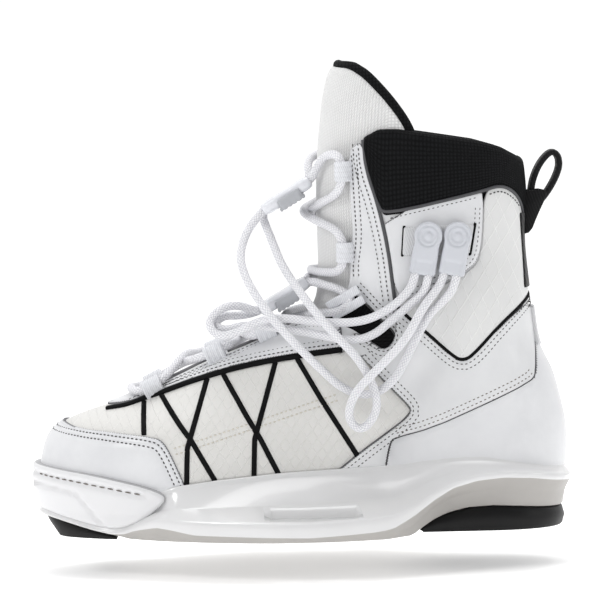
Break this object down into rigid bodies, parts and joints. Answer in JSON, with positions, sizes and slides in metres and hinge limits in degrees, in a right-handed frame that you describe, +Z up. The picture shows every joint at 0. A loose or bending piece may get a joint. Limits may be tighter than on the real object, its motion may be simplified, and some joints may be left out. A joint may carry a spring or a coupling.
{
  "type": "laced board boot with moulded binding chassis",
  "caption": "High-top laced wakeboard boot with padded tongue, two-zone lace locks with pull handles, and a moulded sole chassis with slotted bolt flanges.",
  "frame": {"origin": "centre of the four slotted bolt holes, on the plane of the sole underside", "axes": "+Z up, toe towards -X and heel towards +X, outer (lateral) side of this left boot towards -Y"},
  "size_m": [0.3176, 0.176, 0.2749],
  "materials": {
    "black_mesh": "knitted mesh",
    "black_strip": "matt film strip",
    "black_webbing": "woven webbing",
    "board": "fibre board",
    "bumper_rubber": "satin white rubber",
    "chassis_gloss": "glossy moulded nylon",
    "cuff_ripstop": "ripstop weave with a large diamond grid",
    "foam": "moulded foam",
    "footbed_fabric": "brushed fabric over foam",
    "grip_plastic": "satin moulding",
    "grip_rubber": "matt black rubber",
    "handle_plastic": "soft-touch moulding",
    "lace_cord": "round braid",
    "lace_loop": "ribbed webbing",
    "leather": "smooth semi-gloss synthetic leather",
    "lining_fabric": "brushed lining",
    "lock_plastic": "satin moulding",
    "shell_fabric": "plain backing",
    "tongue_mesh": "ballistic weave",
    "trim_grey": "woven tab",
    "vamp_ripstop": "ripstop weave with a small diagonal grid"
  },
  "bodies": {
    "boot": {"backstay_strap": "black_webbing", "collar_pad": "black_mesh", "cuff_panel_lateral": "cuff_ripstop", "cuff_panel_medial": "cuff_ripstop", "footbed": "footbed_fabric", "gusset_lateral": "black_mesh", "gusset_medial": "black_mesh", "handle_dock": "lace_loop", "handle_patch_lateral": "leather", "handle_patch_medial": "leather", "heel_counter": "leather", "heel_grip_pad": "grip_rubber", "heel_tab": "trim_grey", "instep_loops": "lace_loop", "lace_hooks": "lace_loop", "lasting_board": "board", "lining": "lining_fabric", "lower_eyestay_lateral": "leather", "lower_eyestay_medial": "leather", "lower_lacing": "lace_cord", "lower_lead_a": "lace_cord", "lower_lead_b": "lace_cord", "lower_lock_housing": "lock_plastic", "midsole_foam": "foam", "quarter_lateral": "shell_fabric", "quarter_leather_lateral": "leather", "quarter_leather_medial": "leather", "quarter_medial": "shell_fabric", "shaft_loops": "lace_loop", "sole_chassis": "chassis_gloss", "toe_bumper": "bumper_rubber", "toe_cap": "leather", "toe_grip_pad": "grip_rubber", "tongue_lower": "tongue_mesh", "upper_eyestay_lateral": "leather", "upper_eyestay_medial": "leather", "upper_lacing": "lace_cord", "upper_lead_a": "lace_cord", "upper_lead_b": "lace_cord", "upper_lock_housing": "lock_plastic", "vamp_piping": "black_strip", "vamp_shell": "vamp_ripstop", "vamp_strips": "black_strip"},
    "tongue_top": {"tongue_top": "tongue_mesh"},
    "pull_loop": {"pull_loop": "black_webbing"},
    "upper_lock_grip": {"upper_lock_grip": "grip_plastic"},
    "lower_lock_grip": {"lower_lock_grip": "grip_plastic"},
    "upper_pull_handle": {"upper_pull_handle": "handle_plastic"},
    "lower_pull_handle": {"lower_pull_handle": "handle_plastic"}
  },
  "joints": [
    {"name": "tongue_fold", "type": "hinge", "parent": "boot", "child": "tongue_top", "pos_m": [0.0035, 0, 0.228], "axis": [0, -1, 0], "range_deg": [0, 25], "stiffness_Nm_per_rad": 0.9},
    {"name": "pull_loop_swing", "type": "hinge", "parent": "boot", "child": "pull_loop", "pos_m": [0.132, 0, 0.188], "axis": [0, 1, 0], "range_deg": [-5, 70], "stiffness_Nm_per_rad": 0.08},
    {"name": "upper_lock_release", "type": "slide", "parent": "boot", "child": "upper_lock_grip", "axis": [0.8572, 0, 0.515], "range_m": [0, 0.003], "stiffness_N_per_m": 400},
    {"name": "lower_lock_release", "type": "slide", "parent": "boot", "child": "lower_lock_grip", "axis": [0.8572, 0, 0.515], "range_m": [0, 0.003], "stiffness_N_per_m": 400},
    {"name": "upper_handle_pull", "type": "slide", "parent": "boot", "child": "upper_pull_handle", "axis": [0.1908, 0, 0.9816], "range_m": [0, 0.006]},
    {"name": "lower_handle_pull", "type": "slide", "parent": "boot", "child": "lower_pull_handle", "axis": [0.1908, 0, 0.9816], "range_m": [0, 0.006]}
  ]
}
